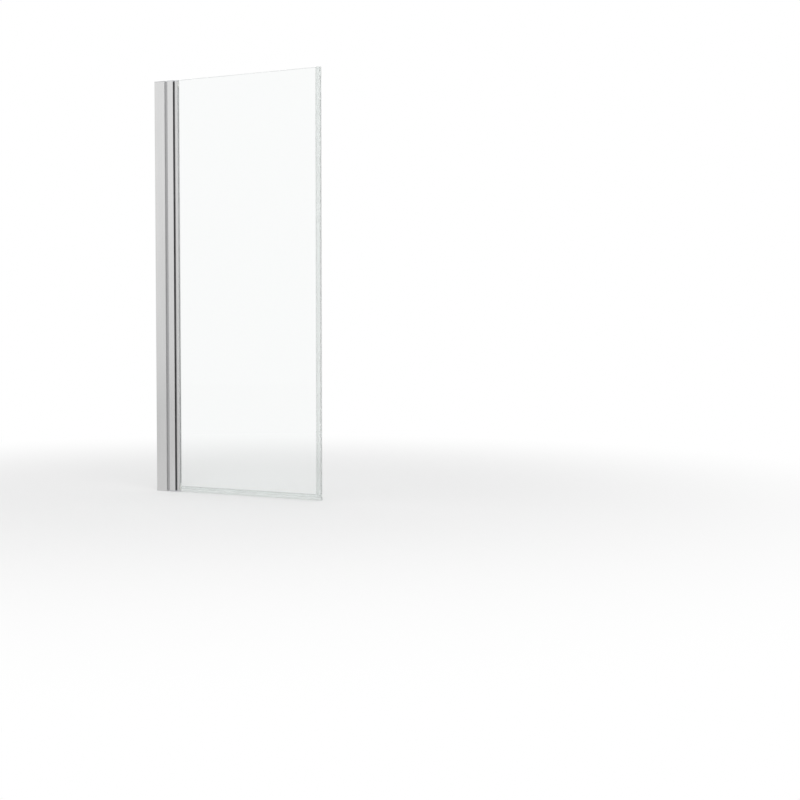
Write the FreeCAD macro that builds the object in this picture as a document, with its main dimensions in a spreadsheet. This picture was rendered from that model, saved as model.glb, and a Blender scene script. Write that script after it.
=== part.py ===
import FreeCAD, Part
import os
import Sketcher

# Pivoting bath screen: one clear glass panel that swings on a slim upright, which slides in a wall
# channel. Frame: X runs from the wall to the panel's free edge, Y into the bath, Z up. The origin is
# where the wall, the screen's middle plane and the bath's rim meet. Lengths are in millimetres.

doc = FreeCAD.newDocument("bath_screen")
sizes = doc.addObject("Spreadsheet::Sheet", "sizes")

DRIVING_SIZES = [
    ("screen_height", 1500, "rim to the top of the profiles and of the glass"),
    ("screen_width", 690, "wall to the tip of the free-edge strip, at mid adjustment"),
    ("profile_depth", 26, "front to back of the channel and of the upright"),
    ("channel_width", 43.5, "wall to the channel's lips"),
    ("channel_wall", 1.5, "thickness of the channel's sides, lips and ribs"),
    ("channel_web", 2, "thickness of the channel's back, against the wall"),
    ("lip_reach", 5.2, "how far the lips and ribs turn in from the channel's outer faces"),
    ("guide_rib_place", 25, "wall to the guide ribs"),
    ("channel_round", 0.8, "radius on the channel's front edges"),
    ("channel_cap_plate", 2.5, "thickness of the channel's top cap"),
    ("cap_leg_length", 9, "how far the cap's legs reach into the channel"),
    ("cap_leg_wall", 3, "thickness of the cap's legs"),
    ("wall_hole", 5.2, "diameter of the wall fixing holes"),
    ("wall_hole_count", 4, "number of wall fixing holes"),
    ("wall_hole_margin", 100, "end of the channel to the nearest wall fixing hole"),
    ("slide_clearance", 0.3, "between the sliding legs and the channel's lips and ribs"),
    ("leg_wall", 1.4, "thickness of the upright's two sliding legs"),
    ("adjust_travel", 10, "how far the upright slides each way"),
    ("leg_end_gap", 1, "channel's back to the ends of the legs, slid all the way in"),
    ("post_gap", 1, "channel's lips to the upright's tube, slid all the way in"),
    ("post_width", 26, "width of the upright's tube"),
    ("post_wall", 1.6, "wall of the upright's tube"),
    ("post_round", 4, "radius on the tube's corners towards the wall"),
    ("post_edge_round", 1.5, "radius on the tube's corners towards the glass"),
    ("groove_mouth", 3.2, "width of the seal groove's mouth"),
    ("groove_width", 6.2, "width of the seal groove inside"),
    ("groove_lip", 1, "thickness of the seal groove's lips"),
    ("groove_depth", 1.2, "depth of the seal groove behind its lips"),
    ("port_inset", 7.5, "face of the tube to a screw port's centre, along X"),
    ("port_edge", 4.7, "face of the tube to a screw port's centre, along Y"),
    ("port_outer", 6.6, "outer diameter of a screw port"),
    ("port_bore", 3.4, "bore of a screw port"),
    ("rim_clearance", 1, "rim to the underside of the lower pivot plate"),
    ("plate_thickness", 4, "thickness of the pivot plates"),
    ("tongue_radius", 6, "radius of a pivot plate's round end, about the pivot"),
    ("plate_hole_room", 0.5, "screw port's bore to the edge of a screw hole in the pivot plates"),
    ("plate_screw_head", 7.4, "head diameter of the pivot plates' screws"),
    ("plate_screw_sink", 2.2, "depth of the countersinks"),
    ("plate_screw_length", 16, "length of the pivot plates' screws"),
    ("screw_clearance", 0.2, "round the shanks of screws in their holes, in radius"),
    ("pin_diameter", 5, "diameter of the pivot pins"),
    ("pin_engagement", 14, "how far a pin reaches into its insert"),
    ("pin_seat", 0.02, "radial room of a pin in its plate"),
    ("pin_running", 0.05, "radial clearance of a pin in its insert"),
    ("washer_diameter", 11, "outer diameter of the thrust washers"),
    ("washer_thickness", 0.5, "thickness of the thrust washers"),
    ("washer_play", 0.1, "end play at each thrust washer"),
    ("nose_gap", 1, "upright's face to the glass clamp's round nose"),
    ("clamp_thickness", 21, "front to back of the glass clamp"),
    ("clamp_grip", 4, "pivot to the clamp's open end"),
    ("clamp_edge_round", 2.5, "radius on the clamp's two long edges"),
    ("nose_wall", 2.7, "tip of the nose to the bottom of the glass slot"),
    ("clamp_wall", 1.5, "walls round the clamp's two chambers"),
    ("chamber_set_back", 2.5, "pivot to the chambers, towards the nose"),
    ("insert_length", 25, "length of a pivot insert"),
    ("insert_bore_spare", 1, "bore past the end of the pin"),
    ("insert_web", 2.7, "how far an insert reaches out of the clamp"),
    ("insert_screw", 4, "diameter of the grub screws that hold the inserts"),
    ("insert_screw_length", 9, "length of a grub screw"),
    ("insert_screw_drop", 20, "end of the clamp to a grub screw"),
    ("insert_screw_sink", 0.6, "grub screw below the clamp's face"),
    ("fit_room", 0.05, "radial room of a grub screw in its hole"),
    ("glass_thickness", 6, "thickness of the glass"),
    ("glass_lift", 11, "rim to the lower edge of the glass"),
    ("glass_arris", 0.6, "ground bevel round the glass"),
    ("notch_round", 4, "radius in the corner of a notch in the glass"),
    ("notch_clearance", 1, "round end of a pivot plate to the glass"),
    ("insert_gap", 0.5, "end of an insert to the glass and to the gasket"),
    ("gasket_wall", 0.9, "thickness of the glazing gasket"),
    ("gasket_lip", 1, "how far the gasket shows out of the clamp"),
    ("seal_clearance", 0.5, "hinge seal to the nose of the clamp"),
    ("seal_wall", 1.4, "thickness of the hinge seal's wings"),
    ("seal_span", 19, "front to back of the hinge seal"),
    ("seal_fit", 0.2, "hinge seal's foot to its groove, each side"),
    ("strip_wall", 1.2, "thickness of the plastic strips' legs"),
    ("strip_leg", 15, "length of the free-edge strip's legs"),
    ("strip_nose", 5, "free edge of the glass to the tip of the strip"),
    ("strip_bore", 3.4, "bore of the free-edge strip's hollow nose"),
    ("strip_round", 3.4, "radius on the free-edge strip's nose"),
    ("sweep_leg", 10, "length of the bottom seal's legs"),
    ("sweep_web", 1.5, "thickness of the bottom seal under the glass"),
    ("sweep_fin", 1.2, "thickness of the bottom seal's wiping fin"),
    ("sweep_rim_gap", 0.4, "rim to the tip of the wiping fin"),
    ("sweep_start", 10.5, "pivot to the near end of the bottom seal"),
    ("sweep_set_back", 1, "tip of the free-edge strip to the far end of the bottom seal"),
    ("sweep_joint", 0.5, "bottom seal to the free-edge strip that stands on it"),
    ("drip_reach", 9, "middle plane to the tip of the drip lip"),
    ("drip_lift", 2.5, "rim to the tip of the drip lip"),
    ("drip_wall", 1.1, "thickness of the drip lip"),
    ("adjust_screw_count", 3, "number of adjusting screws"),
    ("adjust_screw_margin", 150, "end of the channel to the nearest adjusting screw"),
    ("adjust_screw_offset", 3.5, "guide ribs to the adjusting screws"),
    ("adjust_screw", 4, "diameter of the adjusting screws"),
    ("adjust_screw_length", 11.5, "length of the adjusting screws"),
    ("adjust_head", 8, "head diameter of the adjusting screws"),
    ("adjust_head_height", 2.2, "head height of the adjusting screws"),
    ("adjust_head_bevel", 0.8, "bevel on the heads of the adjusting screws"),
    ("slot_clearance", 0.4, "adjusting screw to the end of its slot at full travel"),
    ("nut_width", 7, "width of the square nuts"),
    ("nut_height", 3, "height of the square nuts"),
    ("nut_gap", 0.2, "square nut to the leg it clamps"),
    ("cover_diameter", 11, "outer diameter of the screw covers"),
    ("cover_wall", 0.9, "wall of the screw covers"),
    ("cover_bevel", 1, "bevel on the screw covers"),
    ("cover_air", 0.3, "screw head to the inside of its cover"),
]

for row, (alias, number, meaning) in enumerate(DRIVING_SIZES, start=1):
    sizes.set(f"A{row}", meaning)
    sizes.set(f"B{row}", str(number))
    sizes.setAlias(f"B{row}", alias)
doc.recompute()

# Places that several pieces share, worked out from the sheet.
HALF_DEPTH = "sizes.profile_depth / 2"
LIP_INSIDE = "(sizes.profile_depth / 2 - sizes.lip_reach)"
LEG_OUTSIDE = f"({LIP_INSIDE} - sizes.slide_clearance)"
LEG_INSIDE = f"({LEG_OUTSIDE} - sizes.leg_wall)"
LEG_END = "(sizes.channel_web + sizes.adjust_travel + sizes.leg_end_gap)"
POST_START = "(sizes.channel_width + sizes.adjust_travel + sizes.post_gap)"
POST_END = f"({POST_START} + sizes.post_width)"
CHANNEL_TOP = "(sizes.screen_height - sizes.channel_cap_plate)"
POST_BOTTOM = "(sizes.rim_clearance + sizes.plate_thickness)"
POST_TOP = "(sizes.screen_height - sizes.plate_thickness)"
POST_HEIGHT = f"({POST_TOP} - {POST_BOTTOM})"
NOSE_TIP = f"({POST_END} + sizes.nose_gap)"
CLAMP_HALF = "(sizes.clamp_thickness / 2)"
PIVOT_X = f"({NOSE_TIP} + {CLAMP_HALF})"
CLAMP_END = f"({PIVOT_X} + sizes.clamp_grip)"
WASHER_ROOM = "(sizes.washer_thickness + sizes.washer_play)"
CLAMP_BOTTOM = f"({POST_BOTTOM} + {WASHER_ROOM})"
CLAMP_TOP = f"({POST_TOP} - {WASHER_ROOM})"
SLOT_BOTTOM = f"({NOSE_TIP} + sizes.nose_wall)"
GLASS_HALF = "(sizes.glass_thickness / 2)"
SLOT_HALF = f"({GLASS_HALF} + sizes.gasket_wall)"
GLASS_LEFT = f"({SLOT_BOTTOM} + sizes.gasket_wall)"
GLASS_RIGHT = "(sizes.screen_width - sizes.strip_nose)"
NOTCH_EDGE = f"({PIVOT_X} + sizes.tongue_radius + sizes.notch_clearance)"
LOWER_NOTCH = f"({CLAMP_BOTTOM} + sizes.insert_length + sizes.insert_gap)"
UPPER_NOTCH = f"({CLAMP_TOP} - sizes.insert_length - sizes.insert_gap)"
STRIP_HALF = f"({GLASS_HALF} + sizes.strip_wall)"
SWEEP_TOP = "(sizes.glass_lift + sizes.sweep_leg)"
STRIP_BOTTOM = f"({SWEEP_TOP} + sizes.sweep_joint)"
PORT_X = f"({POST_START} + sizes.port_inset)"
PORT_Y = f"({HALF_DEPTH} - sizes.port_edge)"
ADJUST_X = "(sizes.guide_rib_place + sizes.channel_wall + sizes.adjust_screw_offset)"

ALONG_Y = FreeCAD.Rotation(FreeCAD.Vector(1, 0, 0), -90)
SAME_PLACE = 1e-3
nodes = []


def value(expression):
    """The number that an expression on the sheet gives."""
    return float(sizes.evalExpression(expression))


def negative(expression):
    return f"-({expression})"


def bind(item, **cells):
    """Binds properties to expressions; x, y and z stand for the item's place."""
    for name, expression in cells.items():
        target = f"Placement.Base.{name}" if name in ("x", "y", "z") else name
        item.setExpression(target, expression)
    return item


def box(name, x, y, z, length, width, height):
    piece = doc.addObject("Part::Box", name)
    return bind(piece, x=x, y=y, z=z, Length=length, Width=width, Height=height)


def cylinder(name, x, y, z, radius, height, turn=FreeCAD.Rotation()):
    piece = doc.addObject("Part::Cylinder", name)
    piece.Placement.Rotation = turn
    return bind(piece, x=x, y=y, z=z, Radius=radius, Height=height)


def fuse(name, pieces):
    joined = doc.addObject("Part::MultiFuse", name)
    joined.Shapes = pieces
    return joined


def cut(name, base, tools):
    result = doc.addObject("Part::Cut", name)
    result.Base = base
    result.Tool = tools[0] if len(tools) == 1 else fuse(f"{name}_tools", tools)
    return result


def common(name, first, second):
    result = doc.addObject("Part::Common", name)
    result.Base = first
    result.Tool = second
    return result


def group(name, pieces):
    """Separate solids that are made and bought as one item."""
    result = doc.addObject("Part::Compound", name)
    result.Links = pieces
    return result


def node(piece, label):
    """Marks a finished sub-part; its label is the name of its file."""
    piece.Label = label
    nodes.append(piece)
    return piece


def origin_plane(body, role):
    return next(item for item in body.Origin.OriginFeatures if item.Role == role)


def sketch_on(body, role, name):
    sketch = body.newObject("Sketcher::SketchObject", name)
    sketch.AttachmentSupport = [(origin_plane(body, role), "")]
    sketch.MapMode = "FlatFace"
    return sketch


def pin_point(sketch, item, point, x, y):
    """Holds a point of the sketch at a place that the sheet gives."""
    for kind, expression in (("DistanceX", x), ("DistanceY", y)):
        index = sketch.addConstraint(Sketcher.Constraint(kind, -1, 1, item, point, value(expression)))
        sketch.setExpression(f"Constraints[{index}]", expression)


def draw_loop(sketch, corners):
    """Adds a closed outline of straight lines through the corners."""
    first = sketch.GeometryCount
    count = len(corners)
    places = [FreeCAD.Vector(value(x), value(y), 0) for x, y in corners]
    for index in range(count):
        sketch.addGeometry(Part.LineSegment(places[index], places[(index + 1) % count]))
    for index in range(count):
        following = first + (index + 1) % count
        sketch.addConstraint(Sketcher.Constraint("Coincident", first + index, 2, following, 1))
    for index, (x, y) in enumerate(corners):
        pin_point(sketch, first + index, 1, x, y)


def draw_circle(sketch, x, y, diameter):
    centre = FreeCAD.Vector(value(x), value(y), 0)
    up = FreeCAD.Vector(0, 0, 1)
    item = sketch.addGeometry(Part.Circle(centre, up, value(diameter) / 2))
    pin_point(sketch, item, 3, x, y)
    index = sketch.addConstraint(Sketcher.Constraint("Diameter", item, value(diameter)))
    sketch.setExpression(f"Constraints[{index}]", diameter)


def mirrored(corners):
    """The corners with their mirror images in the middle plane, as one loop."""
    return corners + [(x, negative(y)) for x, y in reversed(corners)]


def pad(body, sketch, name, length):
    feature = body.newObject("PartDesign::Pad", name)
    feature.Profile = sketch
    feature.setExpression("Length", length)
    return feature


def round_uprights(body, name, places, radius):
    """Rounds the edges along Z that stand at the given places."""
    doc.recompute()
    base = body.Tip
    wanted = [(value(x), value(y)) for x, y in places]
    edges = []
    for index, edge in enumerate(base.Shape.Edges, start=1):
        low = edge.Vertexes[0].Point
        high = edge.Vertexes[-1].Point
        upright = abs(low.x - high.x) + abs(low.y - high.y) < SAME_PLACE < abs(low.z - high.z)
        if upright and any(abs(low.x - x) + abs(low.y - y) < SAME_PLACE for x, y in wanted):
            edges.append(f"Edge{index}")
    fillet = body.newObject("PartDesign::Fillet", name)
    fillet.Base = (base, edges)
    fillet.setExpression("Radius", radius)
    return fillet


def extrusion(name, loops, height, bottom="0"):
    """A profile cut to length: its section in XY, pushed up from the bottom."""
    body = doc.addObject("PartDesign::Body", name)
    sketch = sketch_on(body, "XY_Plane", f"{name}_section")
    for loop in loops:
        draw_loop(sketch, loop)
    pad(body, sketch, f"{name}_length", height)
    return bind(body, z=bottom)


def evenly(count, margin, index):
    """Height of one of the holes that are spaced evenly between two end margins."""
    return f"{margin} + {index} * (sizes.screen_height - 2 * {margin}) / ({count} - 1)"


# Wall channel: a C-shaped aluminium extrusion screwed to the wall. Its lips and two ribs turn in and
# guide the legs of the upright.
half_channel = [
    ("0", HALF_DEPTH),
    ("sizes.channel_width", HALF_DEPTH),
    ("sizes.channel_width", LIP_INSIDE),
    ("sizes.channel_width - sizes.channel_wall", LIP_INSIDE),
    ("sizes.channel_width - sizes.channel_wall", f"{HALF_DEPTH} - sizes.channel_wall"),
    ("sizes.guide_rib_place + sizes.channel_wall", f"{HALF_DEPTH} - sizes.channel_wall"),
    ("sizes.guide_rib_place + sizes.channel_wall", LIP_INSIDE),
    ("sizes.guide_rib_place", LIP_INSIDE),
    ("sizes.guide_rib_place", f"{HALF_DEPTH} - sizes.channel_wall"),
    ("sizes.channel_web", f"{HALF_DEPTH} - sizes.channel_wall"),
]
channel = extrusion("channel_body", [mirrored(half_channel)], CHANNEL_TOP)
front_corners = [("sizes.channel_width", HALF_DEPTH), ("sizes.channel_width", negative(HALF_DEPTH))]
round_uprights(channel, "channel_edges", front_corners, "sizes.channel_round")

wall_hole_count = int(value("sizes.wall_hole_count"))
adjust_screw_count = int(value("sizes.adjust_screw_count"))
adjust_heights = [
    evenly("sizes.adjust_screw_count", "sizes.adjust_screw_margin", index)
    for index in range(adjust_screw_count)
]
hole_sketch = sketch_on(channel, "YZ_Plane", "wall_hole_section")
draw_circle(hole_sketch, "0", "sizes.wall_hole_margin", "sizes.wall_hole")
wall_hole = channel.newObject("PartDesign::Pocket", "wall_hole")
wall_hole.Profile = hole_sketch
wall_hole.setExpression("Length", "sizes.channel_web")
wall_hole.Reversed = True
wall_holes = channel.newObject("PartDesign::LinearPattern", "wall_holes")
wall_holes.Originals = [wall_hole]
wall_holes.Direction = (origin_plane(channel, "Z_Axis"), [""])
wall_holes.setExpression("Length", "sizes.screen_height - 2 * sizes.wall_hole_margin")
wall_holes.Occurrences = wall_hole_count
channel.Tip = wall_holes

flange_holes = [
    cylinder(
        f"flange_hole_{index}",
        ADJUST_X,
        "0",
        height,
        "sizes.adjust_screw / 2 + sizes.screw_clearance",
        "sizes.profile_depth",
        ALONG_Y,
    )
    for index, height in enumerate(adjust_heights)
]
node(cut("wall_channel_cut", channel, flange_holes), "wall_channel")

# Channel cap: a moulded lid on top of the channel, with two legs between the ribs and the web.
LEG_ROOM = f"({HALF_DEPTH} - sizes.channel_wall)"
cap_plate = box(
    "cap_plate",
    "0",
    negative(HALF_DEPTH),
    CHANNEL_TOP,
    "sizes.channel_width",
    "sizes.profile_depth",
    "sizes.channel_cap_plate",
)
cap_legs = [
    box(
        f"cap_leg_{side}",
        "sizes.channel_web + sizes.slide_clearance",
        low,
        f"{CHANNEL_TOP} - sizes.cap_leg_length",
        "sizes.guide_rib_place - sizes.channel_web - 2 * sizes.slide_clearance",
        "sizes.cap_leg_wall",
        "sizes.cap_leg_length",
    )
    for side, low in (
        ("back", f"{LEG_ROOM} - sizes.slide_clearance - sizes.cap_leg_wall"),
        ("front", negative(f"{LEG_ROOM} - sizes.slide_clearance")),
    )
]
node(fuse("channel_cap_whole", [cap_plate] + cap_legs), "channel_cap")

# Upright: one aluminium extrusion. Two thin legs slide in the channel; the tube carries the pivots,
# a groove for the hinge seal and two ports for screws.
GROOVE_FLOOR = f"({POST_END} - sizes.groove_lip - sizes.groove_depth)"
half_post = [
    (LEG_END, LEG_OUTSIDE),
    (POST_START, LEG_OUTSIDE),
    (POST_START, HALF_DEPTH),
    (POST_END, HALF_DEPTH),
    (POST_END, "sizes.groove_mouth / 2"),
    (f"{POST_END} - sizes.groove_lip", "sizes.groove_mouth / 2"),
    (f"{POST_END} - sizes.groove_lip", "sizes.groove_width / 2"),
    (GROOVE_FLOOR, "sizes.groove_width / 2"),
]
leg_gap = [
    (LEG_END, negative(LEG_INSIDE)),
    (POST_START, negative(LEG_INSIDE)),
    (POST_START, LEG_INSIDE),
    (LEG_END, LEG_INSIDE),
]
half_hollow = [
    (f"{POST_START} + sizes.post_wall", f"{HALF_DEPTH} - sizes.post_wall"),
    (f"{POST_END} - sizes.post_wall", f"{HALF_DEPTH} - sizes.post_wall"),
    (f"{POST_END} - sizes.post_wall", "sizes.groove_width / 2 + sizes.post_wall"),
    (f"{GROOVE_FLOOR} - sizes.post_wall", "sizes.groove_width / 2 + sizes.post_wall"),
]
post_loops = [mirrored(half_post) + leg_gap, mirrored(half_hollow)]
post = extrusion("post_body", post_loops, POST_HEIGHT, POST_BOTTOM)
wall_side_corners = [(POST_START, HALF_DEPTH), (POST_START, negative(HALF_DEPTH))]
round_uprights(post, "post_wall_corners", wall_side_corners, "sizes.post_round")
glass_side_corners = [(POST_END, HALF_DEPTH), (POST_END, negative(HALF_DEPTH))]
round_uprights(post, "post_glass_corners", glass_side_corners, "sizes.post_edge_round")

port_sketch = sketch_on(post, "XY_Plane", "port_section")
bore_sketch = sketch_on(post, "XY_Plane", "port_bore_section")
for y in (PORT_Y, negative(PORT_Y)):
    draw_circle(port_sketch, PORT_X, y, "sizes.port_outer")
    draw_circle(bore_sketch, PORT_X, y, "sizes.port_bore")
pad(post, port_sketch, "screw_ports", POST_HEIGHT)
port_bores = post.newObject("PartDesign::Pocket", "port_bores")
port_bores.Profile = bore_sketch
port_bores.setExpression("Length", POST_HEIGHT)
port_bores.Reversed = True
post.Tip = port_bores

# Slots in the bath-side leg let the upright slide past the adjusting screws.
SLOT_RADIUS = "(sizes.adjust_screw / 2 + sizes.screw_clearance)"
SLOT_REACH = "(sizes.adjust_travel + sizes.slot_clearance)"
leg_slots = []
for index, height in enumerate(adjust_heights):
    for side, reach in (("near", negative(SLOT_REACH)), ("far", SLOT_REACH)):
        leg_slots.append(
            cylinder(
                f"slot_{side}_{index}",
                f"{ADJUST_X} + {reach}",
                "0",
                height,
                SLOT_RADIUS,
                HALF_DEPTH,
                ALONG_Y,
            )
        )
    leg_slots.append(
        box(
            f"slot_middle_{index}",
            f"{ADJUST_X} - {SLOT_REACH}",
            "0",
            f"{height} - {SLOT_RADIUS}",
            f"2 * {SLOT_REACH}",
            HALF_DEPTH,
            f"2 * {SLOT_RADIUS}",
        )
    )
node(cut("hinge_post_cut", post, leg_slots), "hinge_post")

# Adjusting screws: pan heads on the channel's bath side. Each passes the slot in the leg and pulls a
# square nut against it from inside. A snap-on cover hides each head.
screws = []
nuts = []
covers = []
for index, height in enumerate(adjust_heights):
    head = cylinder(
        f"adjust_head_{index}",
        ADJUST_X,
        HALF_DEPTH,
        height,
        "sizes.adjust_head / 2",
        "sizes.adjust_head_height",
        ALONG_Y,
    )
    shank = cylinder(
        f"adjust_shank_{index}",
        ADJUST_X,
        f"{HALF_DEPTH} - sizes.adjust_screw_length",
        height,
        "sizes.adjust_screw / 2",
        "sizes.adjust_screw_length",
        ALONG_Y,
    )
    screws.append(fuse(f"adjust_screw_{index}", [head, shank]))
    nut_block = box(
        f"nut_block_{index}",
        f"{ADJUST_X} - sizes.nut_width / 2",
        f"{LEG_INSIDE} - sizes.nut_gap - sizes.nut_height",
        f"{height} - sizes.nut_width / 2",
        "sizes.nut_width",
        "sizes.nut_height",
        "sizes.nut_width",
    )
    nut_thread = cylinder(
        f"nut_thread_{index}",
        ADJUST_X,
        "0",
        height,
        "sizes.adjust_screw / 2 + sizes.fit_room",
        HALF_DEPTH,
        ALONG_Y,
    )
    nuts.append(cut(f"nut_{index}", nut_block, [nut_thread]))
    cover_outside = cylinder(
        f"cover_outside_{index}",
        ADJUST_X,
        HALF_DEPTH,
        height,
        "sizes.cover_diameter / 2",
        "sizes.adjust_head_height + sizes.cover_air + sizes.cover_wall",
        ALONG_Y,
    )
    cover_inside = cylinder(
        f"cover_inside_{index}",
        ADJUST_X,
        HALF_DEPTH,
        height,
        "sizes.cover_diameter / 2 - sizes.cover_wall",
        "sizes.adjust_head_height + sizes.cover_air",
        ALONG_Y,
    )
    covers.append((cover_outside, cover_inside))


def bevel_rim(name, piece, bevel, height):
    """Bevels the circular edges of a turned piece that lie at one distance along Y."""
    doc.recompute()
    bevelled = doc.addObject("Part::Chamfer", name)
    bevelled.Base = piece
    depth = value(bevel)
    edges = []
    for index, edge in enumerate(piece.Shape.Edges, start=1):
        span = edge.BoundBox
        if abs(span.YMin - value(height)) + abs(span.YMax - value(height)) < SAME_PLACE:
            edges.append((index, depth, depth))
    bevelled.Edges = edges
    return bevelled


HEAD_FACE = f"{HALF_DEPTH} + sizes.adjust_head_height"
COVER_FACE = f"{HALF_DEPTH} + sizes.adjust_head_height + sizes.cover_air + sizes.cover_wall"
finished_screws = [
    bevel_rim(f"finished_screw_{index}", screw, "sizes.adjust_head_bevel", HEAD_FACE)
    for index, screw in enumerate(screws)
]
cover_shells = []
for index, (outside, inside) in enumerate(covers):
    dome = bevel_rim(f"cover_dome_{index}", outside, "sizes.cover_bevel", COVER_FACE)
    cover_shells.append(cut(f"cover_{index}", dome, [inside]))
node(group("adjusting_screw_set", finished_screws), "adjusting_screws")
node(group("clamp_nut_set", nuts), "clamp_nuts")
node(group("screw_cover_set", cover_shells), "screw_covers")


def countersunk(name, y, face, inwards, shank_radius, room="0"):
    """A countersunk screw over a screw port, or with some room round its head the hole for it."""
    sink = f"(sizes.plate_screw_sink + {room})"
    wide = f"sizes.plate_screw_head / 2 + {room}"
    upwards = inwards > 0
    cone = doc.addObject("Part::Cone", f"{name}_cone")
    bind(cone, x=PORT_X, y=y, z=face if upwards else f"{face} - {sink}", Height=sink)
    ends = (wide, shank_radius) if upwards else (shank_radius, wide)
    bind(cone, Radius1=ends[0], Radius2=ends[1])
    start = face if upwards else f"{face} - sizes.plate_screw_length"
    shank = cylinder(f"{name}_shank", PORT_X, y, start, shank_radius, "sizes.plate_screw_length")
    return fuse(name, [cone, shank])


# Pivot plates: cast plates screwed to both ends of the upright. A round tongue reaches over the
# clamp's end and holds the pin that the panel turns on.
PLATE_SIDES = (("back", PORT_Y), ("front", negative(PORT_Y)))


def pivot_plate(place, low, face, inwards):
    head = box(
        f"{place}_plate_head",
        POST_START,
        negative(HALF_DEPTH),
        low,
        "sizes.post_width",
        "sizes.profile_depth",
        "sizes.plate_thickness",
    )
    tongue = box(
        f"{place}_plate_tongue",
        f"{POST_END} - sizes.post_wall",
        negative("sizes.tongue_radius"),
        low,
        f"{PIVOT_X} - {POST_END} + sizes.post_wall",
        "2 * sizes.tongue_radius",
        "sizes.plate_thickness",
    )
    end = cylinder(
        f"{place}_plate_end", PIVOT_X, "0", low, "sizes.tongue_radius", "sizes.plate_thickness"
    )
    whole = fuse(f"{place}_plate_whole", [head, tongue, end])
    pin_hole = cylinder(
        f"{place}_pin_hole",
        PIVOT_X,
        "0",
        low,
        "sizes.pin_diameter / 2 + sizes.pin_seat",
        "sizes.plate_thickness",
    )
    hole_radius = "sizes.port_bore / 2 + sizes.plate_hole_room"
    holes = [
        countersunk(f"{place}_plate_hole_{side}", y, face, inwards, hole_radius, "sizes.screw_clearance")
        for side, y in PLATE_SIDES
    ]
    node(cut(f"pivot_plate_{place}_cut", whole, [pin_hole] + holes), f"pivot_plate_{place}")


def plate_screws(place, face, inwards):
    """The two screws of a plate, with plain shanks as thick as the bore of the ports allows."""
    shank_radius = "sizes.port_bore / 2 - sizes.fit_room"
    made = [
        countersunk(f"{place}_plate_screw_{side}", y, face, inwards, shank_radius)
        for side, y in PLATE_SIDES
    ]
    node(group(f"{place}_plate_screw_set", made), f"plate_screws_{place}")


pivot_plate("top", POST_TOP, "sizes.screen_height", -1)
pivot_plate("bottom", "sizes.rim_clearance", "sizes.rim_clearance", 1)
plate_screws("top", "sizes.screen_height", -1)
plate_screws("bottom", "sizes.rim_clearance", 1)

# Pivot pins: stainless dowels riveted in the plates; the panel's inserts turn on them.
PIN_LENGTH = f"sizes.plate_thickness + {WASHER_ROOM} + sizes.pin_engagement"
for place, start in (("top", f"sizes.screen_height - ({PIN_LENGTH})"), ("bottom", "sizes.rim_clearance")):
    pin = cylinder(f"{place}_pin", PIVOT_X, "0", start, "sizes.pin_diameter / 2", PIN_LENGTH)
    node(pin, f"pivot_pin_{place}")

# Thrust washers: the lower one lies on its plate and carries the panel, the upper one lies on the
# upper insert and keeps it off its plate.
for place, start in (("top", CLAMP_TOP), ("bottom", POST_BOTTOM)):
    disc = cylinder(
        f"{place}_washer_disc", PIVOT_X, "0", start, "sizes.washer_diameter / 2", "sizes.washer_thickness"
    )
    eye = cylinder(
        f"{place}_washer_eye",
        PIVOT_X,
        "0",
        start,
        "sizes.pin_diameter / 2 + sizes.pin_running",
        "sizes.washer_thickness",
    )
    node(cut(f"{place}_washer_cut", disc, [eye]), f"thrust_washer_{place}")

# Hinge seal: a dark soft strip. Its foot sits in the upright's groove and its two wings follow the
# round nose of the clamp, so that they keep the same distance while the panel swings.
WING_INSIDE = f"({CLAMP_HALF} + sizes.seal_clearance)"
wing_outer = cylinder(
    "wing_outer", PIVOT_X, "0", POST_BOTTOM, f"{WING_INSIDE} + sizes.seal_wall", POST_HEIGHT
)
wing_inner = cylinder("wing_inner", PIVOT_X, "0", POST_BOTTOM, WING_INSIDE, POST_HEIGHT)
wing_ring = cut("wing_ring", wing_outer, [wing_inner])
wing_window = box(
    "wing_window",
    POST_END,
    "-sizes.seal_span / 2",
    POST_BOTTOM,
    CLAMP_HALF,
    "sizes.seal_span",
    POST_HEIGHT,
)
wings = common("seal_wings", wing_ring, wing_window)
stem = box(
    "seal_stem",
    f"{POST_END} - sizes.groove_lip - sizes.seal_fit",
    "-sizes.groove_mouth / 2 + sizes.seal_fit",
    POST_BOTTOM,
    "sizes.groove_lip + 2 * sizes.seal_fit",
    "sizes.groove_mouth - 2 * sizes.seal_fit",
    POST_HEIGHT,
)
foot = box(
    "seal_foot",
    f"{GROOVE_FLOOR} + sizes.seal_fit",
    "-sizes.groove_width / 2 + sizes.seal_fit",
    POST_BOTTOM,
    "sizes.groove_depth - 2 * sizes.seal_fit",
    "sizes.groove_width - 2 * sizes.seal_fit",
    POST_HEIGHT,
)
node(fuse("hinge_seal_whole", [wings, stem, foot]), "hinge_seal")

# Glass clamp: an aluminium extrusion with a round nose about the pivot, a slot for the glass and a
# chamber in each cheek.
CLAMP_HEIGHT = f"({CLAMP_TOP} - {CLAMP_BOTTOM})"
nose_round = cylinder("nose_round", PIVOT_X, "0", CLAMP_BOTTOM, CLAMP_HALF, CLAMP_HEIGHT)
nose_window = box(
    "nose_window",
    NOSE_TIP,
    negative(CLAMP_HALF),
    CLAMP_BOTTOM,
    CLAMP_HALF,
    "sizes.clamp_thickness",
    CLAMP_HEIGHT,
)
nose = common("clamp_nose", nose_round, nose_window)
cheek_corners = [
    (PIVOT_X, CLAMP_HALF),
    (CLAMP_END, CLAMP_HALF),
    (CLAMP_END, negative(CLAMP_HALF)),
    (PIVOT_X, negative(CLAMP_HALF)),
]
cheeks = extrusion("clamp_cheeks", [cheek_corners], CLAMP_HEIGHT, CLAMP_BOTTOM)
round_uprights(cheeks, "clamp_edges", cheek_corners[1:3], "sizes.clamp_edge_round")
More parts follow.
